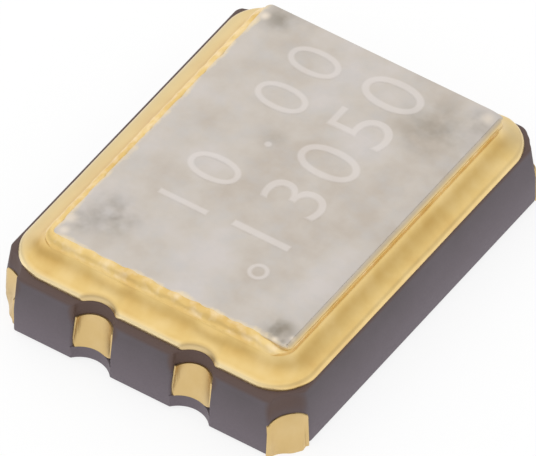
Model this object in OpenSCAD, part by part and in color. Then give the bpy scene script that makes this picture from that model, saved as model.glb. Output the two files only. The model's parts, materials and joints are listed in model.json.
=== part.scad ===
/* [Ceramic base] */
// Width of the package across its short sides (X)
body_w = 2.5; // [2.4:0.05:3]
// Length of the package (Y)
body_l = 3.2; // [3.1:0.05:3.8]
// Thickness of the bottom ceramic layer
floor_t = 0.11; // [0.08:0.01:0.2]
// Thickness of the layer that the die pit is cut through
pit_layer_t = 0.18; // [0.17:0.01:0.25]
// Thickness of the layer above the shelves, up to the tops of the side terminals
step_layer_t = 0.08; // [0.06:0.01:0.14]
// Thickness of the top ceramic layer
rim_layer_t = 0.11; // [0.08:0.01:0.16]
// How far each side leans in at its top edge
side_lean = 0.045; // [0.01:0.001:0.05]
// Height of the leaning part of the sides
lean_h = 0.28; // [0.15:0.01:0.34]

/* [Notches] */
// Radius of the quarter-round notch at each corner
corner_notch_r = 0.21; // [0.19:0.01:0.24]
// Radius of the half-round notches in the short sides
side_notch_r = 0.16; // [0.14:0.005:0.18]
// Distance between the two notches of a short side
side_notch_pitch = 0.81; // [0.7:0.01:0.9]
// Depth of those notches in the bottom layer
side_notch_foot = 0.075; // [0.06:0.005:0.11]
// Offset of all notches from the package centre along X
notch_shift_x = 0.04; // [0:0.005:0.045]
// Offset of the corner notches from the package centre along Y
notch_shift_y = 0.035; // [0:0.005:0.045]

/* [Terminals] */
// Thickness of the solder lands
land_t = 0.02; // [0.015:0.005:0.04]
// Width of a solder land (X)
land_w = 0.7; // [0.5:0.05:0.85]
// Length of a solder land (Y)
land_l = 0.9; // [0.7:0.05:1.1]
// Distance from the outline to a solder land
land_inset = 0.05; // [0.02:0.01:0.1]
// Thickness of the plating on a notch wall
plating_t = 0.012; // [0.008:0.002:0.03]
// Radius left clear at the foot of a corner terminal
corner_foot_r = 0.13; // [0.1:0.005:0.14]

/* [Seal ring] */
// Distance from the outline to the metal seal band, on the long sides
seal_margin_x = 0.0725; // [0.07:0.0025:0.095]
// Distance from the outline to the metal seal band, on the short sides
seal_margin_y = 0.0775; // [0.075:0.0025:0.11]
// Offset of the seal band from the package centre along X
seal_shift_x = 0.0225; // [0:0.0025:0.0225]
// Offset of the seal band from the package centre along Y
seal_shift_y = 0.0275; // [0:0.0025:0.0275]
// Corner radius of the seal band
seal_corner_r = 0.31; // [0.3:0.01:0.4]
// Thickness of the seal band
seal_t = 0.02; // [0.016:0.002:0.03]
// Rounding of the seal band's outer edge
seal_edge_r = 0.012; // [0.006:0.002:0.014]
// Gap between a side notch and the seal band
seal_notch_gap = 0.025; // [0.01:0.005:0.04]
// Distance from the edge of the seal band to the ring
ring_inset = 0.165; // [0.14:0.005:0.18]
// Width of the ring's wall
ring_wall = 0.2; // [0.15:0.01:0.24]
// Height of the ring
ring_h = 0.15; // [0.1:0.01:0.2]
// Corner radius of the ring's opening
ring_hole_r = 0.1; // [0.04:0.01:0.16]
// Thickness of the braze where it runs out on the band
braze_foot_t = 0.03; // [0.02:0.005:0.04]
// Rounding of the braze's outer rim
braze_rim_r = 0.02; // [0.01:0.002:0.02]
// Thickness of the braze at the top of the ring
braze_lip = 0.012; // [0.006:0.002:0.02]

/* [Lid] */
// Thickness of the lid
lid_t = 0.08; // [0.05:0.01:0.12]
// Distance from the ring's edge to the lid on the long sides, centred
lid_gap_x = 0.04; // [0.035:0.0025:0.07]
// Distance from the ring's edge to the lid on the short sides, centred
lid_gap_y = 0.045; // [0.035:0.0025:0.07]
// Offset of the lid from the ring's centre along X
lid_shift_x = 0.03; // [0:0.005:0.035]
// Offset of the lid from the ring's centre along Y
lid_shift_y = 0.025; // [0:0.005:0.035]
// Corner radius of the lid
lid_corner_r = 0.05; // [0.04:0.01:0.14]
// Rounding of the lid's top edge
lid_edge_r = 0.02; // [0.01:0.005:0.03]

/* [Cavity] */
// Ceramic that shows inside the ring
rim_step = 0.03; // [0.025:0.005:0.06]
// Corner radius of the cavity
cavity_corner_r = 0.15; // [0.08:0.01:0.2]
// Width of the shelves along the long sides
side_shelf = 0.16; // [0.12:0.01:0.2]
// Length of the shelf that carries the crystal
mount_shelf = 0.5; // [0.45:0.01:0.55]
// Length of the shelf below the crystal's free end
rest_shelf = 0.3; // [0.26:0.01:0.36]
// Corner radius of the die pit
pit_corner_r = 0.1; // [0.05:0.01:0.15]

/* [Crystal] */
// Thickness of the quartz blank
blank_t = 0.139; // [0.1:0.001:0.15]
// Gap between the blank and the long walls of the cavity
blank_gap_x = 0.16; // [0.12:0.01:0.2]
// Gap between the blank and the wall at its mounted end
blank_gap_mount = 0.1; // [0.06:0.01:0.13]
// Gap between the blank and the wall at its free end
blank_gap_free = 0.16; // [0.12:0.01:0.2]
// Thickness of the electrode film
electrode_t = 0.005; // [0.004:0.001:0.008]
// Bare quartz beside the electrodes
electrode_margin = 0.18; // [0.12:0.01:0.22]
// Bare quartz at the free end of the electrodes
electrode_end = 0.4; // [0.3:0.01:0.5]
// Length of the contact pads at the mounted end
contact_l = 0.3; // [0.24:0.01:0.34]
// Bare quartz between the two contact pads
contact_split = 0.405; // [0.3:0.005:0.5]
// Bare quartz between the contact pads and the electrodes
contact_gap = 0.15; // [0.1:0.01:0.2]
// Width of the leads from the electrodes to the contact pads
lead_w = 0.16; // [0.1:0.01:0.2]
// Height of the adhesive below a contact pad
glue_h = 0.025; // [0.015:0.005:0.04]
// Radius of the adhesive at its foot
glue_foot_r = 0.14; // [0.12:0.005:0.145]
// Radius of the adhesive at its top
glue_top_r = 0.11; // [0.09:0.005:0.115]
// Thickness of the metal lands inside the cavity
film_t = 0.01; // [0.008:0.001:0.015]
// How far the crystal's lands run past its contact pads
land_border = 0.015; // [0.005:0.005:0.03]
// Height of the pillow below the free end
pillow_h = 0.02; // [0.012:0.002:0.022]
// Length of the pillow
pillow_l = 0.14; // [0.1:0.01:0.18]

/* [Circuit] */
// Thickness of the silicon die
die_t = 0.1; // [0.08:0.005:0.12]
// Gap between the die and the long walls of its pit
die_gap_x = 0.11; // [0.08:0.01:0.14]
// Gap between the die and the end walls of its pit
die_gap_y = 0.24; // [0.18:0.01:0.28]
// Height of a bump
bump_h = 0.03; // [0.02:0.005:0.035]
// Radius of a bump
bump_r = 0.035; // [0.025:0.005:0.045]
// Distance from the die's edge to the bumps' centres
bump_inset = 0.1; // [0.08:0.01:0.14]
// Radius of the land below a bump
bump_land_r = 0.06; // [0.05:0.005:0.075]

/* [Hidden] */

$fn = 64;

// Levels, counted from the underside of the solder lands
floor_z = land_t + floor_t;
shelf_z = floor_z + pit_layer_t;
side_top_z = shelf_z + step_layer_t;
rim_z = side_top_z + rim_layer_t;
ring_z = rim_z + seal_t;
lid_z = ring_z + ring_h;
reach = lid_z + lid_t;

// Seal band, ring and lid
seal_w = body_w - 2 * seal_margin_x;
seal_l = body_l - 2 * seal_margin_y;
seal_at = [seal_shift_x, seal_shift_y, 0];
ring_w = seal_w - 2 * ring_inset;
ring_l = seal_l - 2 * ring_inset;
ring_corner_r = seal_corner_r - ring_inset;
ring_hole_w = ring_w - 2 * ring_wall;
ring_hole_l = ring_l - 2 * ring_wall;
braze_r = ring_h - braze_foot_t;
braze_foot_u = ring_inset - braze_lip - braze_r;
lid_w = ring_w - 2 * lid_gap_x;
lid_l = ring_l - 2 * lid_gap_y;
lid_at = seal_at + [lid_shift_x, lid_shift_y, lid_z];

// The arc that a side notch follows in the bottom layer
foot_arc_r = (pow(side_notch_r, 2) + pow(side_notch_foot, 2)) / (2 * side_notch_foot);
foot_arc_out = foot_arc_r - side_notch_foot;

// Cavity and pit
cavity_w = ring_hole_w - 2 * rim_step;
cavity_l = ring_hole_l - 2 * rim_step;
pit_w = cavity_w - 2 * side_shelf;
pit_l = cavity_l - mount_shelf - rest_shelf;
pit_y = (mount_shelf - rest_shelf) / 2;

// Crystal, from its lands upwards
land_top_z = shelf_z + film_t;
contact_z = land_top_z + glue_h;
blank_z = contact_z + electrode_t;
blank_top_z = blank_z + blank_t;
blank_w = cavity_w - 2 * blank_gap_x;
blank_y0 = -cavity_l / 2 + blank_gap_mount;
blank_y1 = cavity_l / 2 - blank_gap_free;
contact_w = (blank_w - contact_split) / 2;
contact_x = (contact_split + contact_w) / 2;
contact_y = blank_y0 + contact_l / 2;
electrode_w = blank_w - 2 * electrode_margin;
electrode_y0 = blank_y0 + contact_l + contact_gap;
electrode_y1 = blank_y1 - electrode_end;
lead_x = electrode_w / 2 - lead_w / 2;

// Die and its bumps, in two rows of three
die_w = pit_w - 2 * die_gap_x;
die_l = pit_l - 2 * die_gap_y;
die_z = floor_z + film_t + bump_h;
bump_columns = [-1, 0, 1];
bump_dx = die_w / 2 - bump_inset;
bump_dy = die_l / 2 - bump_inset;

// Rectangle with round corners, centred
module round_rect(w, l, r) {
    square([w - 2 * r, l], center = true);
    square([w, l - 2 * r], center = true);
    for (x = [-1, 1], y = [-1, 1])
        translate([x * (w / 2 - r), y * (l / 2 - r)])
            circle(r);
}

// Carries a profile round a rectangle with round corners.
// The profile's x is the distance in from the edge and its y is the height.
module round_frame(w, l, r) {
    for (side = [0:3]) {
        along = side % 2 == 0 ? w : l;
        across = side % 2 == 0 ? l : w;
        rotate(90 * side) {
            translate([r - along / 2, -across / 2, 0])
                rotate([90, 0, 90])
                    linear_extrude(along - 2 * r)
                        children();
            translate([along / 2 - r, r - across / 2, 0])
                rotate(-90)
                    rotate_extrude(angle = 90)
                        translate([r, 0])
                            mirror([1, 0])
                                children();
        }
    }
}

// Plate with round corners and a rounded top edge, whose rim laps over the plate
module soft_plate(w, l, r, t, edge) {
    lap = edge / 4;
    linear_extrude(t)
        round_rect(w - 2 * edge, l - 2 * edge, r - edge);
    round_frame(w, l, r) {
        square([edge + lap, t - edge]);
        difference() {
            square([edge + lap, t]);
            difference() {
                square([edge, t]);
                translate([edge, t - edge])
                    circle(edge);
            }
        }
    }
}

// One side of the package seen end on: upright below, leaning in above
module lean_profile(w) {
    lean_z = rim_z - lean_h;
    polygon([
        [-w / 2, 0], [w / 2, 0], [w / 2, lean_z], [w / 2 - side_lean, rim_z],
        [side_lean - w / 2, rim_z], [-w / 2, lean_z]
    ]);
}

// The space inside the package outline, without notches
module package_space() {
    intersection() {
        rotate([90, 0, 0])
            linear_extrude(body_l, center = true)
                lean_profile(body_w);
        rotate([90, 0, 90])
            linear_extrude(body_w, center = true)
                lean_profile(body_l);
    }
}

// Centre of a corner notch
function corner_at(sx, sy) = [sx * body_w / 2 + notch_shift_x, sy * body_l / 2 + notch_shift_y, 0];

// How much of each side a corner notch takes away, along X and along Y
function corner_cut(sx, sy) = [
    sqrt(pow(corner_notch_r, 2) - pow(notch_shift_y, 2)) - sx * notch_shift_x,
    sqrt(pow(corner_notch_r, 2) - pow(notch_shift_x, 2)) - sy * notch_shift_y
];

// Centre of a side notch, or of an arc whose centre lies further out
function side_at(sx, sy, out = 0) = [sx * side_notch_pitch / 2 + notch_shift_x, sy * (body_l / 2 + out), 0];

// Places its children at the four side notches
module at_side_notches(out = 0) {
    for (sx = [-1, 1], sy = [-1, 1])
        translate(side_at(sx, sy, out))
            children();
}

module ceramic_base() {
    color("#6b6168")
        difference() {
            package_space();
            translate([0, 0, land_t - reach])
                linear_extrude(reach)
                    square([body_w + reach, body_l + reach], center = true);
            for (sx = [-1, 1], sy = [-1, 1])
                translate(corner_at(sx, sy))
                    cylinder(r = corner_notch_r, h = reach);
            at_side_notches()
                translate([0, 0, floor_z])
                    cylinder(r = side_notch_r, h = reach);
            at_side_notches(foot_arc_out)
                cylinder(r = foot_arc_r, h = floor_z);
            translate([0, 0, shelf_z])
                linear_extrude(reach)
                    round_rect(cavity_w, cavity_l, cavity_corner_r);
            translate([0, pit_y, floor_z])
                linear_extrude(reach)
                    round_rect(pit_w, pit_l, pit_corner_r);
        }
}

// Solder land and the plated corner notch that stands on it
module terminal(sx, sy) {
    notch = corner_at(sx, sy);
    foot = corner_cut(sx, sy) - [plating_t, plating_t];
    land_x = body_w / 2 - land_inset - land_w / 2;
    land_y = body_l / 2 - land_inset - land_l / 2;
    color("#d9b36c")
        difference() {
            union() {
                translate([sx * land_x, sy * land_y, land_t / 2])
                    cube([land_w, land_l, land_t], center = true);
                intersection() {
                    package_space();
                    translate(notch)
                        cylinder(r = corner_notch_r, h = shelf_z);
                }
            }
            translate([sx * body_w / 2, sy * body_l / 2, -reach / 2])
                linear_extrude(2 * reach)
                    polygon([[sx * land_inset, sy * land_inset], [-sx * foot[0], 0], [0, -sy * foot[1]]]);
            translate(notch)
                cylinder(r1 = corner_foot_r, r2 = corner_notch_r - plating_t, h = shelf_z);
        }
}

// Plating in a side notch, between the bottom and top ceramic layers
module side_terminal(sx, sy) {
    plated_h = side_top_z - floor_z;
    clear_r = side_notch_r - plating_t;
    color("#d6b476")
        difference() {
            intersection() {
                package_space();
                translate(side_at(sx, sy) + [0, 0, floor_z])
                    cylinder(r = side_notch_r, h = plated_h);
            }
            translate(side_at(sx, sy) + [0, 0, floor_z])
                intersection() {
                    cylinder(r = clear_r, h = plated_h);
                    translate([0, sy * foot_arc_out, 0])
                        cylinder(r1 = foot_arc_r, r2 = foot_arc_out + clear_r, h = plated_h);
                }
        }
}

// Removes what would stand over the side notches
module clear_of_notches() {
    difference() {
        children();
        at_side_notches()
            cylinder(r = side_notch_r + seal_notch_gap, h = reach);
    }
}

module seal_band() {
    color("#e8c887")
        clear_of_notches()
            translate(seal_at + [0, 0, rim_z])
                difference() {
                    soft_plate(seal_w, seal_l, seal_corner_r, seal_t, seal_edge_r);
                    translate([0, 0, -reach / 2])
                        linear_extrude(reach)
                            round_rect(ring_hole_w, ring_hole_l, ring_hole_r);
                }
}

// Concave run of braze from the band up to the ring's edge
module braze_fillet() {
    color("#dcb870")
        clear_of_notches()
            translate(seal_at + [0, 0, ring_z])
                round_frame(seal_w, seal_l, seal_corner_r)
                    difference() {
                        translate([seal_edge_r, 0])
                            square([ring_inset - seal_edge_r, ring_h]);
                        translate([braze_foot_u, ring_h])
                            circle(braze_r);
                        translate([0, braze_foot_t])
                            square([max(braze_foot_u, 0), ring_h]);
                        difference() {
                            translate([seal_edge_r, braze_foot_t - braze_rim_r])
                                square(braze_rim_r);
                            translate([seal_edge_r + braze_rim_r, braze_foot_t - braze_rim_r])
                                circle(braze_rim_r);
                        }
                    }
}

module seam_ring() {
    color("#e7ca8a")
        translate(seal_at + [0, 0, ring_z])
            linear_extrude(ring_h)
                difference() {
                    round_rect(ring_w, ring_l, ring_corner_r);
                    round_rect(ring_hole_w, ring_hole_l, ring_hole_r);
                }
}

module lid() {
    color("#c8c0b9")
        translate(lid_at)
            soft_plate(lid_w, lid_l, lid_corner_r, lid_t, lid_edge_r);
}

module crystal_land(sx) {
    color("#e8c887")
        translate([sx * contact_x, contact_y, shelf_z + film_t / 2])
            cube([contact_w + 2 * land_border, contact_l + 2 * land_border, film_t], center = true);
}

module crystal_pillow() {
    color("#e8c887")
        translate([0, cavity_l / 2 - blank_gap_free - pillow_l / 2, shelf_z + pillow_h / 2])
            cube([blank_w / 2, pillow_l, pillow_h], center = true);
}

module adhesive(sx) {
    color("#b9b4ac")
        translate([sx * contact_x, contact_y, land_top_z])
            cylinder(r1 = glue_foot_r, r2 = glue_top_r, h = glue_h);
}

module quartz_blank() {
    color("#dfe6e8")
        translate([-blank_w / 2, blank_y0, blank_z])
            cube([blank_w, blank_y1 - blank_y0, blank_t]);
}

// Electrode film with its lead to the mounted end, on the side that sx gives
module electrode_outline(sx) {
    translate([-electrode_w / 2, electrode_y0])
        square([electrode_w, electrode_y1 - electrode_y0]);
    translate([sx * lead_x - lead_w / 2, blank_y0])
        square([lead_w, contact_l + contact_gap + electrode_margin]);
}

module contact_outline(sx) {
    translate([sx * contact_x, contact_y])
        square([contact_w, contact_l], center = true);
}

// The upper film runs over the blank's end to its contact pad below
module electrode_upper() {
    color("#ecd9a4") {
        translate([0, 0, blank_top_z])
            linear_extrude(electrode_t)
                electrode_outline(1);
        translate([lead_x - lead_w / 2, blank_y0 - electrode_t, contact_z])
            cube([lead_w, electrode_t, blank_t + 2 * electrode_t]);
        translate([0, 0, contact_z])
            linear_extrude(electrode_t)
                contact_outline(1);
    }
}

module electrode_lower() {
    color("#ecd9a4")
        translate([0, 0, contact_z])
            linear_extrude(electrode_t) {
                electrode_outline(-1);
                contact_outline(-1);
            }
}

module circuit_die() {
    color("#5c6472")
        translate([0, pit_y, die_z + die_t / 2])
            cube([die_w, die_l, die_t], center = true);
}

// Places its children at the bumps of the die
module at_bumps() {
    for (row = [-1, 1], column = bump_columns)
        translate([column * bump_dx, pit_y + row * bump_dy, floor_z])
            children();
}

module die_bumps() {
    color("#e8c887")
        at_bumps()
            translate([0, 0, film_t])
                cylinder(r = bump_r, h = bump_h);
}

module die_lands() {
    color("#e8c887")
        at_bumps()
            cylinder(r = bump_land_r, h = film_t);
}

ceramic_base();
terminal(1, -1);  // terminal_1
terminal(1, 1);  // terminal_2
terminal(-1, 1);  // terminal_3
terminal(-1, -1);  // terminal_4
side_terminal(1, -1);  // side_terminal_1
side_terminal(1, 1);  // side_terminal_2
side_terminal(-1, 1);  // side_terminal_3
side_terminal(-1, -1);  // side_terminal_4
seal_band();
braze_fillet();
seam_ring();
lid();
crystal_land(-1);  // crystal_land_left
crystal_land(1);  // crystal_land_right
crystal_pillow();
adhesive(-1);  // adhesive_left
adhesive(1);  // adhesive_right
quartz_blank();
electrode_upper();
electrode_lower();
circuit_die();
die_bumps();
die_lands();
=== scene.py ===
import json
import math

import bmesh
import bpy
from mathutils import Matrix, Vector, noise


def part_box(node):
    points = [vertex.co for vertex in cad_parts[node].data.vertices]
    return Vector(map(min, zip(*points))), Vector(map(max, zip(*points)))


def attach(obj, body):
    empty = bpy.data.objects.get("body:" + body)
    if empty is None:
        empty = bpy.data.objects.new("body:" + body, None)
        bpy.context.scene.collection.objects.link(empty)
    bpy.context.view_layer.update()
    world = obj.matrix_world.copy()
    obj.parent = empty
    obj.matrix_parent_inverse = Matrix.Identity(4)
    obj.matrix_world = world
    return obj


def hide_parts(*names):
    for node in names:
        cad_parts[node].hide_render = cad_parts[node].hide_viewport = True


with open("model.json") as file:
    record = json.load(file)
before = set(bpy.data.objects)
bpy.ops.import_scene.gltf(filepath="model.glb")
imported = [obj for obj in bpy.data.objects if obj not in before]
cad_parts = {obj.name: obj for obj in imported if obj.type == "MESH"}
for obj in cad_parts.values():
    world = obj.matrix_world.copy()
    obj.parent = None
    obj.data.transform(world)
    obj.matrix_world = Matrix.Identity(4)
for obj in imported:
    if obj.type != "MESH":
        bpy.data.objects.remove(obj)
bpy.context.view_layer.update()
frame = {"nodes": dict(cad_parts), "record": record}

mm = 0.001       # pieces are modelled in millimetres and written in metres
scene = bpy.context.scene


# frame

def nodeBox(name):                     # a node's two corners, in millimetres
    low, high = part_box(name)
    return low / mm, high / mm


baseLow, baseHigh = nodeBox("ceramic_base")
bandLow, bandHigh = nodeBox("seal_band")
ringLow, ringHigh = nodeBox("seam_ring")
lidLow, lidHigh = nodeBox("lid")
cornerLow, cornerHigh = nodeBox("terminal_1")
sideLow, sideHigh = nodeBox("side_terminal_1")
shelfZ = nodeBox("crystal_land_left")[0].z
pitZ = nodeBox("die_lands")[0].z
halfWidth, halfLength = baseHigh.x, baseHigh.y
signs = [(1, -1), (1, 1), (-1, 1), (-1, -1)]      # of terminals 1 to 4
notchCfg = {
    "shift": (0.04, 0.035),   # offset of the notches from the package centre
    "corner": 0.21,           # radii
    "side": (sideHigh.x - sideLow.x) / 2,
    "footDepth": 0.075,       # depth of a side notch in the bottom layer
    "longMouth": 0.06,        # rounding of the edges between the notches and the long sides
    "shortMouth": [0.02, 0.08, 0.08, 0.02],      # and the short sides, at terminals 1 to 4
    "sideMouth": 0.017,
}
sideX = (sideLow.x + sideHigh.x) / 2 - notchCfg["shift"][0]


def cornerCentre(sx, sy):
    return sx * halfWidth + notchCfg["shift"][0], sy * halfLength + notchCfg["shift"][1]


def sideCentre(sx, sy, out=0):
    return sx * sideX + notchCfg["shift"][0], sy * (halfLength + out)


def footArc():                # radius of the bottom layer's shallow arc, and how far out its centre lies
    radius = (notchCfg["side"] ** 2 + notchCfg["footDepth"] ** 2) / (2 * notchCfg["footDepth"])
    return radius, radius - notchCfg["footDepth"]


# materials

def hexColour(code):                   # sRGB hex to linear
    parts = [int(code[i:i + 2], 16) / 255 for i in (0, 2, 4)]
    return [c / 12.92 if c <= 0.04045 else ((c + 0.055) / 1.055) ** 2.4 for c in parts] + [1]


def perMm(size):                       # texture scale for a pattern of this size in millimetres
    return 1 / (size * mm)


def addNode(tree, kind, inputs=(), **settings):
    made = tree.nodes.new("ShaderNode" + kind)
    for name, value in settings.items():
        setattr(made, name, value)
    for socket, value in dict(inputs).items():
        if isinstance(value, bpy.types.NodeSocket):
            tree.links.new(value, made.inputs[socket])
        else:
            made.inputs[socket].default_value = value
    return made


def addNoise(tree, where, size, detail=3, rough=0.5):
    return addNode(tree, "TexNoise", {
        "Vector": where, "Scale": perMm(size), "Detail": detail, "Roughness": rough}).outputs[0]


def addRamp(tree, factor, *stops):     # stops are (place, hex colour)
    ramp = addNode(tree, "ValToRGB", {"Fac": factor})
    stripe = ramp.color_ramp.elements
    while len(stripe) < len(stops):
        stripe.new(0.5)
    for element, (place, code) in zip(stripe, stops):
        element.position = place
        element.color = hexColour(code)
    return ramp.outputs["Color"]


def addRange(tree, value, fromLow, fromHigh, toLow, toHigh):
    return addNode(tree, "MapRange", {
        "Value": value, "From Min": fromLow, "From Max": fromHigh,
        "To Min": toLow, "To Max": toHigh}).outputs["Result"]


def addMix(tree, factor, first, second):
    return addNode(tree, "Mix", {0: factor, 6: first, 7: second}, data_type="RGBA").outputs[2]


def addMath(tree, operation, first, second):
    return addNode(tree, "Math", {0: first, 1: second}, operation=operation).outputs[0]


def addSpot(tree, where, centre, radius, core=0):   # 1 within the core, fading to 0 at the radius, in mm
    away = addNode(tree, "VectorMath", {0: where, 1: [c * mm for c in centre]}, operation="DISTANCE")
    return addNode(tree, "MapRange", {
        "Value": away.outputs["Value"], "From Min": core * mm, "From Max": radius * mm,
        "To Min": 1, "To Max": 0}, interpolation_type="SMOOTHSTEP").outputs["Result"]


def startMaterial(name):
    material = bpy.data.materials.new(name)
    material.use_nodes = True
    tree = material.node_tree
    tree.nodes.clear()
    return material, tree, addNode(tree, "TexCoord").outputs["Object"]


def endMaterial(tree, settings, bumps=()):   # bumps are (height, depth in millimetres)
    shader = addNode(tree, "BsdfPrincipled", settings)
    for height, depth in bumps:
        bump = addNode(tree, "Bump", {"Height": height, "Distance": depth * mm, "Strength": 1})
        if shader.inputs["Normal"].is_linked:
            tree.links.new(shader.inputs["Normal"].links[0].from_socket, bump.inputs["Normal"])
        tree.links.new(bump.outputs["Normal"], shader.inputs["Normal"])
    out = addNode(tree, "OutputMaterial")
    tree.links.new(shader.outputs[0], out.inputs["Surface"])


def addSpots(tree, where, spots, core=0):    # strongest of several spots (x, y, z, radius, strength)
    total = 0
    for *centre, radius, strength in spots:
        spot = addRange(tree, addSpot(tree, where, centre, radius, core * radius), 0, 1, 0, strength)
        total = addMath(tree, "MAXIMUM", total, spot)
    return total


def sinteredAlumina():                 # dark alumina, pressed and sintered: matt, with a fine grain
    material, tree, where = startMaterial("sinteredAlumina")
    height = addNode(tree, "SeparateXYZ", {"Vector": where}).outputs["Z"]
    cloud = addNoise(tree, where, 0.35, 3)
    grain = addNoise(tree, where, 0.02, 3, 0.6)
    paler = addRange(tree, height, 0.05 * mm, 0.42 * mm, 1, 0)
    base = addMix(tree, paler, hexColour("4E4449"), hexColour("6A5F67"))        # paler towards the foot, darker towards the top
    base = addMix(tree, addRange(tree, cloud, 0.35, 0.7, 0, 0.3), base, hexColour("675C65"))
    speckled = addMix(tree, addRange(tree, grain, 0.35, 0.75, 0, 0.2), base, hexColour("4A4247"))
    # painted shadow along the top of the sides, under the gold's rim
    rim = addRange(tree, height, 0.462 * mm, 0.492 * mm, 0, 0.8)
    # notch walls: partly painted shade in the concave walls, partly their brown residue
    notchShadeAndResidue = [(*sideCentre(*s), 0.46, 0.225, 0.9) for s in signs]
    notchShadeAndResidue += [(*cornerCentre(*s), 0.43, 0.27, 0.9) for s in signs]
    stainAndShade = addMath(tree, "MAXIMUM", rim, addSpots(tree, where, notchShadeAndResidue, 0.76))
    tone = addMix(tree, stainAndShade, speckled, hexColour("4E3327"))      # painted shadow under the gold's rim; in the notches partly painted shade, partly brown residue
    endMaterial(tree, {"Base Color": tone, "Roughness": 0.75, "IOR": 1.76}, [(grain, 0.0012)])
    return material


def sealTintsAndPaintedLight(tree, where, cloud, tone):    # tints of the seal's gold: painted shade in the braze's hollow and the cut-ins, painted highlights on the rim and along the weld, paler towards the -X and +Y sides
    place = addNode(tree, "SeparateXYZ", {"Vector": where}).outputs
    hollow = addMath(tree, "MULTIPLY", addRange(tree, place["Z"], 0.56 * mm, 0.60 * mm, 0, 1),
                     addRange(tree, place["Z"], 0.61 * mm, 0.655 * mm, 0.42, 0))
    hollow = addMath(tree, "MULTIPLY", hollow, addRange(tree, cloud, 0.35, 0.65, 1.2, 0.6))
    tone = addMix(tree, hollow, tone, hexColour("C39C54"))      # painted shade, browner, in the braze's hollow
    rim = addMath(tree, "MULTIPLY", addRange(tree, place["Z"], 0.552 * mm, 0.535 * mm, 0, 0.75),
                  addRange(tree, place["X"], 0.85 * mm, 1.12 * mm, 1, 0.2))
    tone = addMix(tree, rim, tone, hexColour("F6E4B8"))         # painted highlight along the band's rim, weaker at the +X side
    palerSides = addMath(tree, "MAXIMUM", addRange(tree, place["X"], -1.0 * mm, -1.15 * mm, 0, 0.85),
                   addRange(tree, place["Y"], 1.2 * mm, 1.4 * mm, 0, 0.6))
    tone = addMix(tree, palerSides, tone, hexColour("D2C098"))        # paler gold towards the -X and +Y sides
    # painted shade over the cut-ins at the side notches, where the band's rim would catch light
    cutInShade = [(*sideCentre(*s), 0.53, 0.21, 0.5) for s in signs]
    tone = addMix(tree, addSpots(tree, where, cutInShade, 0.84), tone, hexColour("A5854E"))
    glintNoise = addRange(tree, addNoise(tree, where, 0.08, 2), 0.45, 0.85, 0, 0.7)
    weldGlints = addMath(tree, "MULTIPLY", addRange(tree, place["Z"], 0.665 * mm, 0.69 * mm, 0, 1), glintNoise)
    return addMix(tree, weldGlints, tone, hexColour("F3E0BF"))       # painted glints along the weld


def platedGold(name, dark, main, light, paintedSealLight=False):    # gold plated over nickel: satin and cloudy
    material, tree, where = startMaterial(name)
    cloud = addNoise(tree, where, 0.30, 3)
    fine = addNoise(tree, where, 0.035, 3, 0.6)
    tone = addRamp(tree, cloud, (0.3, dark), (0.5, main), (0.72, light))
    if paintedSealLight:
        tone = sealTintsAndPaintedLight(tree, where, cloud, tone)
    endMaterial(tree, {
        "Base Color": tone, "Metallic": 1,
        "Roughness": addRange(tree, cloud, 0.3, 0.7, 0.32, 0.45),
    }, [(fine, 0.0007), (cloud, 0.002)])
    return material


lidMarks = {                           # (x, y, z, radius, strength) in millimetres
    "burnt": [
        (0.872, -1.16, 0.75, 0.17, 0.8), (0.955, -1.225, 0.74, 0.04, 0.8), (-0.76, 1.27, 0.75, 0.2, 0.55),
        (0.90, 1.20, 0.75, 0.2, 0.45), (-0.16, 0.30, 0.75, 0.14, 0.3), (-0.66, -0.92, 0.75, 0.32, 0.5),
        (0.70, 1.00, 0.75, 0.42, 0.4), (-0.80, -1.08, 0.75, 0.2, 0.45)],
    "bright": [
        (-0.87, 1.24, 0.75, 0.06, 0.8), (0.94, 1.28, 0.75, 0.08, 0.5), (-0.88, -1.08, 0.75, 0.08, 0.6),
        (-0.85, -1.2, 0.75, 0.06, 0.6), (0.90, -1.245, 0.74, 0.04, 0.8), (1.0, -1.17, 0.74, 0.04, 0.7)],
}


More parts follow.
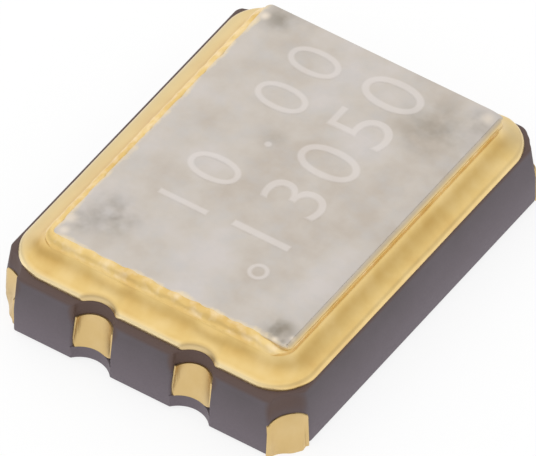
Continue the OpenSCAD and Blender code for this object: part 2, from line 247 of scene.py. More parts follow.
def stainedNickel(name, marked=False):     # rolled, nickel-plated lid: matt grey, stained by the weld's heat
    material, tree, where = startMaterial(name)
    stainAndShade = addNoise(tree, where, 0.5, 4, 0.55)
    smear = addNoise(tree, where, 0.16, 4, 0.6)
    fine = addNoise(tree, where, 0.03, 2, 0.6)
    warm = addRamp(tree, stainAndShade, (0.34, "BBB1A6"), (0.5, "C4BCB3"), (0.66, "C9C2BD"))
    tone = addMix(tree, addRange(tree, smear, 0.45, 0.75, 0, 0.5), warm, hexColour("BDBAB8"))
    patchy = addRange(tree, addNoise(tree, where, 0.13, 2, 0.5), 0.35, 0.65, 0.3, 1.2)
    burnt = addMath(tree, "MULTIPLY", addSpots(tree, where, lidMarks["burnt"]), patchy)
    tone = addMix(tree, burnt, tone, hexColour("857D70"))
    tone = addMix(tree, addSpots(tree, where, lidMarks["bright"]), tone, hexColour("E9DCCB"))
    place = addNode(tree, "SeparateXYZ", {"Vector": where}).outputs
    strip = 0.1            # of the welded sides, in millimetres
    nearX = addRange(tree, place["X"], lidLow.x * mm, (lidLow.x + strip) * mm, strip, 0)
    nearY = addRange(tree, place["Y"], lidLow.y * mm, (lidLow.y + strip) * mm, strip, 0)
    welded = addMath(tree, "MAXIMUM", nearX, nearY)
    ragged = addMath(tree, "ADD", welded, addRange(tree, smear, 0.3, 0.7, -0.03, 0.03))
    tone = addMix(tree, addRange(tree, ragged, 0.065, 0.105, 0, 0.85), tone, hexColour("E6D3AE"))
    edge = addRange(tree, place["X"], (lidHigh.x - 0.06) * mm, (lidHigh.x - 0.03) * mm, 0, 1)
    brim = addMath(tree, "MULTIPLY", edge, addRange(tree, place["Z"], 0.738 * mm, 0.712 * mm, 0, 0.85))
    tone = addMix(tree, brim, tone, hexColour("E0C68E"))       # gold mirrored in the rounded +X edge
    if marked:
        depth = addNode(tree, "Attribute", attribute_name="engraved").outputs["Fac"]
        tone = addMix(tree, addRange(tree, depth, 0, 1, 0, 0.8), tone, hexColour("DCD5D1"))
    endMaterial(tree, {"Base Color": tone, "Metallic": 1, "Roughness": 0.45},
                [(fine, 0.0006), (smear, 0.0012)])
    return material


def plainFinish(name, code, rough, metal=0):      # even finish of a hidden piece, with a faint grain
    material, tree, where = startMaterial(name)
    grain = addNoise(tree, where, 0.05)
    lighter = addMix(tree, addRange(tree, grain, 0.3, 0.7, 0, 0.25), hexColour(code), hexColour("F0F0F0"))
    endMaterial(tree, {"Base Color": lighter, "Roughness": rough, "Metallic": metal})
    return material


ceramicLook = sinteredAlumina()
sealLook = platedGold("sealGold", "D3AF6B", "DFC07D", "E9CE92", paintedSealLight=True)
terminalLook = platedGold("terminalGold", "C6A971", "CDB17C", "D4BB8A")
lidLook = stainedNickel("stainedNickel")
markLook = stainedNickel("engravedNickel", marked=True)
print("materials made")


# mesh helpers

sharpAngle = 40        # degrees; flatter edges are shaded smooth


def finishPiece(bm, name, look, stands=()):
    bmesh.ops.remove_doubles(bm, verts=bm.verts, dist=1e-5)
    bmesh.ops.recalc_face_normals(bm, faces=bm.faces)
    bmesh.ops.scale(bm, vec=(mm, mm, mm), verts=bm.verts)
    mesh = bpy.data.meshes.new(name)
    bm.to_mesh(mesh)
    bm.free()
    mesh.shade_smooth()
    mesh.set_sharp_from_angle(angle=math.radians(sharpAngle))
    mesh.materials.append(look)
    piece = bpy.data.objects.new(name, mesh)
    scene.collection.objects.link(piece)
    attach(piece, "root")
    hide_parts(*stands)
    return piece


def arc(centre, radii, start, end, steps):   # points of an elliptic arc, angles in degrees
    turn = [math.radians(start + (end - start) * i / steps) for i in range(steps + 1)]
    return [(centre[0] + radii[0] * math.cos(a), centre[1] + radii[1] * math.sin(a)) for a in turn]


def block(low, high, cornerRadius=0, steps=12):    # a cuboid with its upright edges rounded
    bm = bmesh.new()
    low, high = Vector(low), Vector(high)
    place = Matrix.Translation((low + high) / 2) @ Matrix.Diagonal((*(high - low), 1))
    bmesh.ops.create_cube(bm, size=1, matrix=place)
    if cornerRadius:
        upright = [e for e in bm.edges if abs(e.verts[0].co.z - e.verts[1].co.z) > 1e-6]
        bmesh.ops.bevel(bm, geom=upright, offset=cornerRadius, affect="EDGES",
                        segments=steps, profile=0.5, material=-1)
    return bm


def peg(x, y, low, high, footRadius, topRadius=None, steps=96):      # an upright cylinder or cone
    bm = bmesh.new()
    place = Matrix.Translation((x, y, (low + high) / 2))
    bmesh.ops.create_cone(bm, cap_ends=True, segments=steps, radius1=footRadius,
                          radius2=footRadius if topRadius is None else topRadius,
                          depth=high - low, matrix=place)
    return bm


def asMesh(bm):
    mesh = bpy.data.meshes.new("shell")
    bm.to_mesh(mesh)
    return mesh


def combine(base, tool, operation="DIFFERENCE"):   # cuts, joins or intersects base by tool
    shells = []
    for bm in (base, tool):
        shells.append(bpy.data.objects.new("shell", asMesh(bm)))
        scene.collection.objects.link(shells[-1])
    cut = shells[0].modifiers.new("cut", "BOOLEAN")
    cut.object, cut.operation, cut.solver = shells[1], operation, "EXACT"
    base.clear()
    base.from_object(shells[0], bpy.context.evaluated_depsgraph_get())
    tool.free()
    for shell in shells:
        bpy.data.meshes.remove(shell.data)
    return base


def softenEdges(bm, size, angle=32):   # rounds the edges that are sharper than this angle, in degrees
    bmesh.ops.dissolve_limit(bm, angle_limit=math.radians(0.3), verts=bm.verts, edges=bm.edges)
    hard = [e for e in bm.edges if e.is_manifold and e.calc_face_angle() > math.radians(angle)]
    bmesh.ops.bevel(bm, geom=hard, offset=size, affect="EDGES", segments=2,
                    profile=0.5, material=-1, clamp_overlap=True)


# ceramic body

bodyCfg = {
    "lean": 0.045,            # how far the sides lean in at the top
    "leanHeight": 0.28,
    "leanDepth": 0.12,        # the notch walls are upright again this deep
    "edge": 0.014,            # worn edge left by pressing and snapping
    "cavity": (1.565, 2.255, 0.15),   # width, length, corner radius
    "pit": (1.245, 1.455, 0.1, 0.1),  # width, length, corner radius, offset along Y
}
above = 1                     # cutters reach past the body by this much


def packageBlock(low, high, trim):    # the package outline with its leaning sides, trimmed all round
    x, y = halfWidth - trim, halfLength - trim
    bm = block((-x, -y, low), (x, y, high))
    leanZ = baseHigh.z - bodyCfg["leanHeight"]
    if high > leanZ:
        share = (high - leanZ) / bodyCfg["leanHeight"]
        bmesh.ops.bisect_plane(bm, geom=bm.verts[:] + bm.edges[:] + bm.faces[:],
                               plane_co=(0, 0, leanZ), plane_no=(0, 0, 1))
        top = [v for v in bm.verts if v.co.z > high - 1e-6]
        lean = bodyCfg["lean"] * share
        bmesh.ops.scale(bm, vec=(1 - lean / x, 1 - lean / y, 1), verts=top)
    return bm


def notchPath(centre, radius, mouths, before, after, grow=0, wrap=(1, 1)):
    ends, angles = [], []     # rounded mouth, notch, rounded mouth; the sides are ((x, y), inward)
    for (place, inward), way, mouth in ((before, -1, mouths[0]), (after, 1, mouths[1])):
        inward = Vector(inward)
        along = Vector((inward.y, -inward.x))          # the way the outline runs
        level = (Vector(place) - centre).dot(inward) + mouth
        middle = centre + inward * level + along * way * math.sqrt((radius + mouth) ** 2 - level ** 2)
        toward = centre - middle
        ends.append(middle)
        out, back = math.atan2(-inward.y, -inward.x), math.atan2(toward.y, toward.x)
        angles.append((math.degrees(out), math.degrees(back)))
    (out0, in0), (out1, in1) = angles
    sweep0, sweep1 = (in0 - out0) % 360, (out1 - in1) % 360
    points = arc(ends[0], (mouths[0] + grow,) * 2, in0 - sweep0 * wrap[0], in0, 6)
    points += arc(centre, (radius - grow,) * 2, in0 + 180, in0 + 180 - (in0 - in1) % 360, 40)[1:-1]
    return points + arc(ends[1], (mouths[1] + grow,) * 2, in1, in1 + sweep1 * wrap[1], 6)


sides = [((0, -halfLength), (0, 1)), ((halfWidth, 0), (-1, 0)),      # a point and the inward way,
         ((0, halfLength), (0, -1)), ((-halfWidth, 0), (1, 0))]      # in the outline's order


def cornerPath(number, grow=0, wrap=(1, 1)):
    mouths = (notchCfg["shortMouth"][number], notchCfg["longMouth"])
    if number % 2:
        mouths = mouths[::-1]
    return notchPath(Vector(cornerCentre(*signs[number])), notchCfg["corner"], mouths,
                     sides[number], sides[(number + 1) % 4], grow, wrap)


def ceramicOutline(foot):     # the package seen from above, counterclockwise
    footRadius, footOut = footArc()
    radius, out = (footRadius, footOut) if foot else (notchCfg["side"], 0)
    points = []
    for number in range(4):
        points += cornerPath(number)
        if number % 2:        # a short side comes next, with its two notches
            side = sides[(number + 1) % 4]
            way = 1 if number == 3 else -1
            for s in (-way, way):
                mouths = (notchCfg["sideMouth"],) * 2
                points += notchPath(Vector(sideCentre(s, -way, out)), radius, mouths, side, side)
    return points


def leanIn(bm):               # leans the sides in, but leaves the notches' walls upright
    leanZ = baseHigh.z - bodyCfg["leanHeight"]
    for v in bm.verts:
        share = bodyCfg["lean"] * max(v.co.z - leanZ, 0) / bodyCfg["leanHeight"]
        for axis, half in ((0, halfWidth), (1, halfLength)):
            near = 1 - min((half - abs(v.co[axis])) / bodyCfg["leanDepth"], 1)
            v.co[axis] -= math.copysign(share * near ** 2 * (3 - 2 * near), v.co[axis])


def prism(points, low, high, levels):  # an outline raised from low to high, with edge loops at the levels
    bm = bmesh.new()
    bm.faces.new([bm.verts.new((x, y, low)) for x, y in points])
    body = bmesh.ops.extrude_face_region(bm, geom=bm.faces[:])["geom"]
    raised = [v for v in body if isinstance(v, bmesh.types.BMVert)]
    bmesh.ops.translate(bm, vec=(0, 0, high - low), verts=raised)
    bmesh.ops.recalc_face_normals(bm, faces=bm.faces)
    for z in levels:
        if low < z < high:
            bmesh.ops.bisect_plane(bm, geom=bm.verts[:] + bm.edges[:] + bm.faces[:],
                                   plane_co=(0, 0, z), plane_no=(0, 0, 1))
    return bm


def ceramicLayer(low, high, foot):     # one layer, its foot and top edges worn round
    edge, top = bodyCfg["edge"], baseHigh.z
    steps = [edge * (1 - math.sin(math.radians(a))) for a in (0, 30, 55, 75)]
    levels = [top - bodyCfg["leanHeight"], *(top - s for s in steps), *(baseLow.z + s for s in steps)]
    bm = prism(ceramicOutline(foot), low, high, levels)
    bm.normal_update()
    for v in bm.verts:
        outward = Vector((v.normal.x, v.normal.y, 0)).normalized()
        depth = max(edge - min(top - v.co.z, v.co.z - baseLow.z), 0)
        v.co -= outward * (edge - math.sqrt(edge ** 2 - depth ** 2))
    leanIn(bm)
    return bm


def makeCeramicBody():
    bm = ceramicLayer(baseLow.z, sideLow.z, True)
    combine(bm, ceramicLayer(sideLow.z, baseHigh.z, False), "UNION")
    width, length, radius = bodyCfg["cavity"]
    combine(bm, block((-width / 2, -length / 2, shelfZ), (width / 2, length / 2, above), radius))
    width, length, radius, offset = bodyCfg["pit"]
    low, high = (-width / 2, offset - length / 2, pitZ), (width / 2, offset + length / 2, above)
    combine(bm, block(low, high, radius))
    finishPiece(bm, "ceramicBody", ceramicLook, ["ceramic_base"])


makeCeramicBody()
print("ceramic body made")


# terminals

terminalCfg = {
    "plating": 0.012,         # plating thickness on a notch wall
    "buried": 0.004,          # and how far it reaches into the ceramic
    "footRadius": 0.13,       # radius left clear at the foot of a corner
    "inset": 0.05,            # distance from the outline to a land
    "landCorner": 0.02,       # rounding of a land's corners
    "landClear": 0.02,        # gap between a land and a side notch
    "trim": 0.022,            # the plating ends this far inside the package's sides
    "wrap": [(0.8, 0.6), (0.5, 0.3), (0.3, 0.4), (0.3, 0.1)],   # shares of a corner's mouth that are plated
    "footSpan": 62,           # the foot fades out this far round from the diagonal, in degrees
    "corner": 0.045,          # rounding of a corner patch's upper ends
    "footRound": 0.1,         # rounding of the lower ends that the plating didn't reach
    "edge": 0.005,
}


def makeCornerSkin(number, sx, sy):        # plating over the notch wall, thicker towards its foot
    centre = Vector((*cornerCentre(sx, sy), 0))
    radius, thick = notchCfg["corner"], terminalCfg["plating"]
    wrap = terminalCfg["wrap"][number - 1]
    path = cornerPath(number - 1, -terminalCfg["buried"], wrap) + cornerPath(number - 1, thick, wrap)[::-1]
    bm = prism(path, 0, shelfZ, [shelfZ * i / 10 for i in range(1, 10)])
    softenEdges(bm, terminalCfg["edge"], 50)
    bends = [(v.co - centre).xy.angle_signed(Vector((-sx, -sy))) for v in bm.verts]
    rounding, ends = terminalCfg["corner"], (-min(bends), max(bends))
    for v, bend in zip(bm.verts, bends):
        last, bend = ends[bend > 0], abs(bend)
        away = Vector((v.co.x, v.co.y, 0)) - centre
        toEnd = min((last - bend) * radius, rounding)
        v.co.z *= 1 - (rounding - math.sqrt(rounding ** 2 - (rounding - toEnd) ** 2)) / shelfZ
        if sx < 0:
            lift = terminalCfg["footRound"]
            toEnd = min((last - bend) * radius, lift)
            v.co.z += (1 - v.co.z / shelfZ) * (lift - math.sqrt(lift ** 2 - (lift - toEnd) ** 2))
        middle = 1 - min(bend / math.radians(terminalCfg["footSpan"]), 1)
        if away.length < radius - thick / 2:
            grown = (radius - thick - terminalCfg["footRadius"]) * (1 - v.co.z / shelfZ)
            v.co -= away.normalized() * grown * middle ** 2 * (3 - 2 * middle)
        v.co.x = min(max(v.co.x, -halfWidth), halfWidth)
        v.co.y = min(max(v.co.y, -halfLength), halfLength)
    leanIn(bm)
    return bm


def makeCornerTerminal(number, sx, sy):
    x, y = cornerCentre(sx, sy)
    radius, plating, inset = notchCfg["corner"], terminalCfg["plating"], terminalCfg["inset"]
    landWidth = cornerHigh.x - inset - cornerLow.x
    landLength = cornerHigh.y - cornerLow.y - inset
    outer = Vector((sx * (halfWidth - inset), sy * (halfLength - inset), 0))
    inner = outer - Vector((sx * landWidth, sy * landLength, -baseLow.z))
    low = [min(a, b) for a, b in zip(outer, inner)]
    high = [max(a, b) for a, b in zip(outer, inner)]
    bm = block(low, high, terminalCfg["landCorner"], 4)
    combine(bm, peg(x, y, -above, above, radius - plating))
    footRadius, footOut = footArc()
    clear = footRadius + terminalCfg["landClear"]
    combine(bm, peg(*sideCentre(sx, sy, footOut), -above, above, clear, steps=160))
    shiftX, shiftY = notchCfg["shift"]
    cutX = math.sqrt(radius ** 2 - shiftY ** 2) - sx * shiftX - plating
    cutY = math.sqrt(radius ** 2 - shiftX ** 2) - sy * shiftY - plating
    wedge = block((-1, -1, -above), (0, 1, above))      # everything outside the line across the corner
    first = Vector((sx * (halfWidth - cutX), sy * halfLength, 0))
    second = Vector((sx * halfWidth, sy * (halfLength - cutY), 0))
    outward = Vector((sx * cutY, sy * cutX, 0)).normalized()
    turn = Matrix.Rotation(math.atan2(-outward.y, -outward.x), 4, "Z")
    bmesh.ops.transform(wedge, matrix=Matrix.Translation((first + second) / 2) @ turn, verts=wedge.verts)
    combine(bm, wedge)
    softenEdges(bm, terminalCfg["edge"])
    bm.from_mesh(asMesh(makeCornerSkin(number, sx, sy)))
    finishPiece(bm, f"cornerTerminal{number}", terminalLook, [f"terminal_{number}"])


def makeSideTerminal(number, sx, sy):      # plating on a side notch, leaning out towards its foot
    clear = notchCfg["side"] - terminalCfg["plating"]
    footRadius, footOut = footArc()
    bm = packageBlock(sideLow.z, sideHigh.z, terminalCfg["trim"])
    combine(bm, peg(*sideCentre(sx, sy), -above, above, notchCfg["side"]), "INTERSECT")
    hollow = peg(*sideCentre(sx, sy), sideLow.z - 0.001, sideHigh.z + 0.001, clear)
    outer = peg(*sideCentre(sx, sy, footOut), sideLow.z - 0.002, sideHigh.z + 0.002,
                footRadius, footOut + clear, 160)
    combine(hollow, outer, "INTERSECT")
    combine(bm, hollow)
    x, y = sideCentre(sx, sy)
    reach = notchCfg["side"]
    mask = block((x - reach, y - above, sideLow.z), (x + reach, y + above, sideHigh.z))
    foot = [e for e in mask.edges if min(v.co.x for v in e.verts) > x
            and max(v.co.z for v in e.verts) < sideHigh.z]
    bmesh.ops.bevel(mask, geom=foot, offset=terminalCfg["footRound"], affect="EDGES",
                    segments=12, profile=0.5, material=-1)
    combine(bm, mask, "INTERSECT")
    softenEdges(bm, terminalCfg["edge"])
    finishPiece(bm, f"sideTerminal{number}", terminalLook, [f"side_terminal_{number}"])


for number, s in enumerate(signs, 1):
    makeCornerTerminal(number, *s)
    makeSideTerminal(number, *s)
print("terminals made")


# seal: band, braze, ring and weld

sealCfg = {
    "cornerRadius": 0.31,     # of the band's outline
    "ringInset": ringLow.x - bandLow.x,
    "ringWall": 0.2,
    "rim": 0.036,             # width of the round rim on the band's outer edge
    "rimHeight": 0.05,        # its crest above the ceramic
    "cutIn": notchCfg["side"] + 0.01,   # radius of the cut-ins over the side notches
    "cutSoft": 0.008,
    "step": 0.012,            # length of a mesh step along the sides
    "cornerSteps": 32,
    "flare": 0.022,           # the print lies a little wide on the -X side
    "shy": 0.028,             # and a little short of the +Y side between its corners
    "shyReach": 0.92,         # this far to both sides of its middle, fading over the last stretch
    "shyFade": 0.2,
    "ringEdge": 0.02,         # rounding of the ring's upper edge
    "hollow": (282, 332),     # the part of an ellipse that the braze's hollow follows, in degrees
    "wave": 0.003,            # uneven flow of the braze
    "waveSize": 0.22,
}
bandCentre = (bandLow + bandHigh) / 2
bandSize = bandHigh - bandLow


def carryRound(profile, box=(bandLow, bandHigh), radius=sealCfg["cornerRadius"]):
    bm = bmesh.new()          # sweeps a closed profile of (distance in, height) round a rounded rectangle
    low, high = box
    width, length = high.x - low.x, high.y - low.y
    centre = Vector(((low.x + high.x) / 2, (low.y + high.y) / 2, 0))
    corner = centre + Vector((radius - width / 2, -length / 2, 0))
    loop = [bm.verts.new(corner + Vector((0, u, z))) for u, z in profile]
    geom = loop + [bm.edges.new((a, b)) for a, b in zip(loop, loop[1:] + loop[:1])]
    heading = Vector((1, 0, 0))
    for side in range(4):
        run = (width, length)[side % 2] - 2 * radius
        steps = int(run / sealCfg["step"])
        geom = bmesh.ops.spin(bm, geom=geom, cent=centre, axis=(0, 0, 1), angle=0, steps=steps,
                              dvec=heading * run / steps)["geom_last"]
        corner += heading * run
        inward = Vector((-heading.y, heading.x, 0))
        geom = bmesh.ops.spin(bm, geom=geom, cent=corner + inward * radius, axis=(0, 0, 1),
                              angle=math.pi / 2, steps=sealCfg["cornerSteps"])["geom_last"]
        corner += inward * radius + heading * radius
        heading = inward
    return bm


def notchCut(x, y):           # how far the cut-in over a side notch reaches past the band's edge
    side = 1 if y > 0 else -1
    edge = bandHigh.y if side > 0 else -bandLow.y
    across = min(abs(x - sideCentre(s, side)[0]) for s in (1, -1))
    raw = edge - (halfLength - math.sqrt(max(sealCfg["cutIn"] ** 2 - across ** 2, 0)))
    soft = sealCfg["cutSoft"]
    return edge, soft * math.log1p(math.exp(raw / soft))


def pullClear(bm):            # draws the band and braze in round the side notches
    depth = sealCfg["ringInset"]
    for v in bm.verts:
        edge, cut = notchCut(v.co.x, v.co.y)
        inset = edge - abs(v.co.y)
        if inset < depth and abs(v.co.x - bandCentre.x) < bandSize.x / 2 - sealCfg["cornerRadius"]:
            inset = cut + inset * (depth - cut) / depth
            v.co.y = math.copysign(edge - inset, v.co.y)


def ripple(bm, amount, low):  # uneven flow, fading out at the level low
    for v in bm.verts:
        if low < v.co.z < ringHigh.z - 0.02:
            v.co.z += amount * noise.noise(v.co / sealCfg["waveSize"])


def makeSeal():               # band, braze and ring, plated over as one skin
    depth, wall, rim = sealCfg["ringInset"], sealCfg["ringWall"], sealCfg["rim"]
    foot, top = baseHigh.z, ringHigh.z
    rise = arc((rim, foot), (rim, sealCfg["rimHeight"]), 180, 100, 12)
    turn = sealCfg["ringEdge"]
    edge = arc((depth + 0.018, top - turn), (turn, turn), 155, 90, 10)
    (u0, z0), (u1, z1) = rise[-1], edge[0]
    start, end = (math.radians(a) for a in sealCfg["hollow"])
    wide = (u1 - u0) / (math.cos(end) - math.cos(start))
    tall = (z1 - z0) / (math.sin(end) - math.sin(start))
    centre = (u0 - wide * math.cos(start), z0 - tall * math.sin(start))
    hollow = arc(centre, (wide, tall), *sealCfg["hollow"], 20)
    inner = [(depth + wall, top), (depth + wall, foot)]
    bm = carryRound([(0.003, foot - 0.006)] + rise + hollow[1:-1] + edge + inner)
    pullClear(bm)
    ripple(bm, sealCfg["wave"], foot + 0.03)
    for v in bm.verts:
        v.co.x -= sealCfg["flare"] * max(bandLow.x + depth - v.co.x, 0) / depth
        toEnd = sealCfg["shyReach"] - abs(v.co.x - bandCentre.x)
        share = min(max(toEnd / sealCfg["shyFade"], 0), 1)
        v.co.y -= sealCfg["shy"] * share * max(v.co.y - bandHigh.y + depth, 0) / depth
    hole = depth + wall
    for v in bm.verts:        # square corners in the opening below the lid
        inset = min(v.co.x - bandLow.x, bandHigh.x - v.co.x, v.co.y - bandLow.y, bandHigh.y - v.co.y)
        if inset > sealCfg["cornerRadius"] - 0.01:
            v.co.x = min(max(v.co.x, bandLow.x + hole), bandHigh.x - hole)
            v.co.y = min(max(v.co.y, bandLow.y + hole), bandHigh.y - hole)
    finishPiece(bm, "brazedSeal", sealLook, ["seal_band", "braze_fillet", "seam_ring"])


makeSeal()
print("seal made")


# lid

lidCfg = {
    "cornerRadius": 0.05,
    "edge": 0.046,            # rounding of the top edge on the +X side
    "sharpEdge": 0.012,       # and on the others
    "slope": 0.13,            # width of the strip that the weld wheels pressed down on all sides but +Y
    "drop": 0.014,            # and how far down it ends
    "level": 0.3,             # the -X strip runs out over this length before the +Y edge
    "cell": 0.03,             # mesh step on the top
    "sink": 0.0004,           # the top lies this far below the marking's top
    "wave": 0.0001, "waveSize": 0.5,
}


def makeLid():
    bm = block(lidLow, lidHigh, lidCfg["cornerRadius"], 10)
    for axis in (0, 1):
        steps = int((lidHigh[axis] - lidLow[axis]) / lidCfg["cell"])
        for step in range(1, steps):
            place, normal = [0, 0, 0], [0, 0, 0]
            place[axis] = lidLow[axis] + (lidHigh[axis] - lidLow[axis]) * step / steps
            normal[axis] = 1
            top = [f for f in bm.faces if f.normal.z > 0.9]
            geom = {g for f in top for g in (f, *f.edges, *f.verts)}
            bmesh.ops.bisect_plane(bm, geom=list(geom), plane_co=place, plane_no=normal)
    for v in bm.verts:
        if v.co.z > lidHigh.z - 1e-6:
            inset = min(v.co.x - lidLow.x, lidHigh.x - v.co.x, v.co.y - lidLow.y)
            near = 1 - min(max(inset, 0) / lidCfg["slope"], 1)
            share = 1 if v.co.x > 0 else min((lidHigh.y - v.co.y) / lidCfg["level"], 1)
            wave = lidCfg["wave"] * (noise.noise(Vector((v.co.x, v.co.y, 0)) / lidCfg["waveSize"]) - 1)
            v.co.z += wave - lidCfg["sink"] - lidCfg["drop"] * share * near ** 2 * (3 - 2 * near)
    middle = (lidLow.z + lidHigh.z) / 2
    brim = [e for e in bm.edges if e.is_manifold and e.calc_face_angle() > 1
            and min(v.co.z for v in e.verts) > middle]
    outer = [e for e in brim if min(v.co.x for v in e.verts) > lidHigh.x - lidCfg["cornerRadius"] * 0.3]
    rest = [e for e in brim if e not in outer]
    for edges, size in ((outer, lidCfg["edge"]), (rest, lidCfg["sharpEdge"])):
        edges = [e for e in edges if e.is_valid]
        bmesh.ops.bevel(bm, geom=edges, offset=size, affect="EDGES", segments=8, profile=0.5, material=-1)
    finishPiece(bm, "weldedLid", lidLook, ["lid"])


makeLid()
print("lid made")


# weld seam between the ring and the lid's edge

weldCfg = {
    "over": 0.012,            # how far the weld runs in over the lid's edge
    "foot": 0.066,            # and out over the ring
    "height": 0.070,          # above the ring
    "sunk": 0.03,             # the bead's curve starts this far below the ring's top
    "tail": 0.006,            # and its inner foot this far
    "margin": 0.004,          # inside the ring's outline
    "low": 0.45,              # share of the height that it has on the +X and +Y sides
    "lump": 0.009, "lumpSize": 0.07,
}


def makeWeldSeam():
    foot, height, over = weldCfg["foot"], weldCfg["height"], weldCfg["over"]
    low, high = lidLow.xy - Vector((foot, foot)), lidHigh.xy + Vector((foot, foot))
    sunk, tail = weldCfg["sunk"], ringHigh.z - weldCfg["tail"]
    shape = arc((foot, ringHigh.z - sunk), (foot, height + sunk), 180, 90, 16)
    shape += [(foot + over, ringHigh.z + height - 0.004), (foot + over, tail), (0, tail)]
    bm = carryRound(shape, (low, high), lidCfg["cornerRadius"] + foot)
    limit = sealCfg["cornerRadius"] - sealCfg["ringInset"]
    for v in bm.verts:
        inner = [min(max(v.co[i], ringLow[i] + limit), ringHigh[i] - limit) for i in (0, 1)]
        reach = v.co.xy - Vector(inner)
        if reach.length > limit - weldCfg["margin"]:
            v.co.xy = Vector(inner) + reach.normalized() * (limit - weldCfg["margin"])
        away = max((v.co.x - lidHigh.x + 0.24) / 0.18, (v.co.y - lidHigh.y + 0.10) / 0.10)
        share = 1 - (1 - weldCfg["low"]) * min(max(away, 0), 1)
        lump = weldCfg["lump"] * (noise.noise(v.co / weldCfg["lumpSize"]) - 0.3)
        if v.co.z > ringHigh.z:
            v.co.z = ringHigh.z + ((v.co.z - ringHigh.z) + lump) * share
    finishPiece(bm, "weldSeam", sealLook)


makeWeldSeam()
print("weld seam made")


# marking

markCfg = {
    "layers": [(-0.001, -0.0002, 0.3), (-0.009, 0, 0.6)],    # offset of a stroke's edge, height, strength
    "rows": [("10.00", (-0.559, -0.129), (-0.534, -0.154, 0.236, 0.656, 1.056)),
             ("13050", (0.021, 0.521), (-0.504, -0.084, 0.316, 0.716, 1.096))],
    "ring": (0.461, -0.794, 0.06, 0.04),    # x, y, radius and width of its line
    "dot": 0.06,
    "tall": 0.73,             # height of a digit in the font's own units
}


def digitMesh(character, offset):
    curve = bpy.data.curves.new("digit", "FONT")
    curve.body = character
    curve.offset = offset
    holder = bpy.data.objects.new("digit", curve)
    scene.collection.objects.link(holder)
    mesh = bpy.data.meshes.new_from_object(holder.evaluated_get(bpy.context.evaluated_depsgraph_get()))
    bpy.data.objects.remove(holder)
    bpy.data.curves.remove(curve)
    return mesh


def addDigit(bm, character, y, topX, baseX, offset):   # upright towards -X, its middle at y
    scale = (baseX - topX) / markCfg["tall"]
    old = set(bm.verts)
    bm.from_mesh(digitMesh(character, (offset - 0.001) / scale))
    fresh = [v for v in bm.verts if v not in old]
    low = Vector([min(v.co[i] for v in fresh) for i in (0, 1)])
    high = Vector([max(v.co[i] for v in fresh) for i in (0, 1)])
    half = (high - low).y * scale / 2 - offset
    if character == ".":
        scale = (markCfg["dot"] / 2 + offset) / ((high - low).x / 2)
        half = markCfg["dot"] / 2
    for v in fresh:
        away = (v.co.xy - (low + high) / 2) * scale
        v.co = Vector((baseX - half - away.y, y + away.x, 0))


def finishMark(layers, name):          # each layer is (mesh, height from the lid's full height, strength)
    whole = bmesh.new()
    depth = whole.verts.layers.float.new("engraved")
    for bm, lift, strength in layers:
        old = set(whole.verts)
        whole.from_mesh(asMesh(bm))
        for v in whole.verts:
            if v not in old:
                v.co.z = lidHigh.z + lift
                v[depth] = strength
    finishPiece(whole, name, markLook).data.shade_flat()


def makeMarking():
    for row, (body, (topX, baseX), places) in enumerate(markCfg["rows"], 1):
        layers = []
        for offset, lift, strength in markCfg["layers"]:
            bm = bmesh.new()
            for character, y in zip(body, places):
                addDigit(bm, character, y, topX, baseX, offset)
            layers.append((bm, lift, strength))
        finishMark(layers, f"markingRow{row}")
    layers = []
    x, y, radius, line = markCfg["ring"]
    place = Matrix.Translation((x, y, 0))
    for offset, lift, strength in markCfg["layers"]:
        bm = bmesh.new()
        for reach in (line / 2 + offset, -line / 2 - offset):
            bmesh.ops.create_circle(bm, segments=48, radius=radius + reach, matrix=place)
        bmesh.ops.bridge_loops(bm, edges=bm.edges[:])
        layers.append((bm, lift, strength))
    finishMark(layers, "markingRing")


makeMarking()
print("marking made")


# inner pieces

innerLooks = {
    "gold_film": plainFinish("goldFilm", "E8C887", 0.3, 1),             # evaporated gold, bright
    "silver_adhesive": plainFinish("silverAdhesive", "B9B4AC", 0.6),    # silver-filled glue, cured matt
    "quartz": plainFinish("lappedQuartz", "DFE6E8", 0.35),              # lapped and etched, frosty
    "silicon": plainFinish("polishedSilicon", "5C6472", 0.15),          # polished, blue-grey mirror
}
nodeLooks = {"dark_alumina": ceramicLook, "gold_terminals": terminalLook, "gold_seal": sealLook,
             "nickel_lid": lidLook, **innerLooks}
for part in frame["record"]["subparts"]:
    node = frame["nodes"][part["node"]]
    node.data.materials.clear()
    node.data.materials.append(nodeLooks[part["material_slot"]])


# floor, lights and camera

studioCfg = {
    "floorSize": 400,
    "skyLight": 0.88,
    "floorGlow": 1.3,         # of the lit paper as metal reflects it
    "lamps": [("softbox", (-10, -6, 48), 110, 0.0085), ("backdrop", (-48, 60, 22), 90, 0.006)],
}


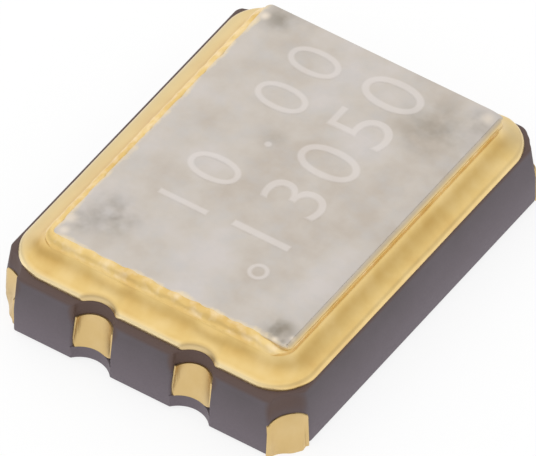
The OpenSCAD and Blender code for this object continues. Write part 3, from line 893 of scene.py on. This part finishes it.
def makeFloor():              # white paper; the camera and metal see it lit from below, its shadows stay
    bm = bmesh.new()
    bmesh.ops.create_grid(bm, x_segments=1, y_segments=1, size=studioCfg["floorSize"] * mm / 2)
    mesh = bpy.data.meshes.new("floor")
    bm.to_mesh(mesh)
    bm.free()
    floor = bpy.data.objects.new("floor", mesh)
    scene.collection.objects.link(floor)
    material = bpy.data.materials.new("whitePaper")
    material.use_nodes = True
    tree = material.node_tree
    tree.nodes.clear()
    paper = addNode(tree, "BsdfDiffuse", {"Color": hexColour("F4F4F4")})
    path = addNode(tree, "LightPath").outputs
    strength = addRange(tree, path["Is Camera Ray"], 0, 1, studioCfg["floorGlow"], 1.02)
    glow = addNode(tree, "Emission", {"Color": (1, 1, 1, 1), "Strength": strength})
    seen = addMath(tree, "MAXIMUM", path["Is Camera Ray"], path["Is Glossy Ray"])
    share = addRange(tree, seen, 0, 1, 0, 0.8)
    blend = addNode(tree, "MixShader", {0: share, 1: paper.outputs[0], 2: glow.outputs[0]})
    addNode(tree, "OutputMaterial", {"Surface": blend.outputs[0]})
    mesh.materials.append(material)


def makeWorld():
    world = bpy.data.worlds.new("studio")
    world.use_nodes = True
    tree = world.node_tree
    tree.nodes.clear()
    path = addNode(tree, "LightPath").outputs
    seen = addMath(tree, "MAXIMUM", path["Is Camera Ray"], path["Is Transmission Ray"])
    level = addRange(tree, seen, 0, 1, studioCfg["skyLight"], 1)
    sky = addNode(tree, "Background", {"Color": (1, 1, 1, 1), "Strength": level})
    addNode(tree, "OutputWorld", {"Surface": sky.outputs[0]})
    scene.world = world


def makeLamp(name, place, size, power):
    data = bpy.data.lights.new(name, "AREA")
    data.shape = "DISK"
    data.energy = power
    data.size = size * mm
    lamp = bpy.data.objects.new(name, data)
    scene.collection.objects.link(lamp)
    lamp.location = Vector(place) * mm
    lamp.rotation_mode = "QUATERNION"
    lamp.rotation_quaternion = (-lamp.location).to_track_quat("-Z", "Y")


cameraCfg = {
    "azimuth": 34.2, "elevation": 45.9,      # degrees, as the photograph was taken
    "lens": 1200, "sensor": 36,
    "fieldWidth": 3.6475,                     # millimetres across the picture
    "aim": (-0.124, 0.182, 0),
}


def makeCamera():
    data = bpy.data.cameras.new("camera")
    data.lens, data.sensor_width = cameraCfg["lens"], cameraCfg["sensor"]
    camera = bpy.data.objects.new("camera", data)
    scene.collection.objects.link(camera)
    a, e = math.radians(cameraCfg["azimuth"]), math.radians(cameraCfg["elevation"])
    back = Vector((math.sin(a) * math.cos(e), -math.cos(a) * math.cos(e), math.sin(e)))
    distance = cameraCfg["fieldWidth"] * cameraCfg["lens"] / cameraCfg["sensor"]
    camera.location = (Vector(cameraCfg["aim"]) + back * distance) * mm
    camera.rotation_mode = "QUATERNION"
    camera.rotation_quaternion = (-back).to_track_quat("-Z", "Y")
    data.clip_start, data.clip_end = 0.001, 1
    scene.camera = camera


makeFloor()
makeWorld()
for lamp in studioCfg["lamps"]:
    makeLamp(*lamp)
makeCamera()
scene.view_settings.view_transform = "Standard"
print("studio made")
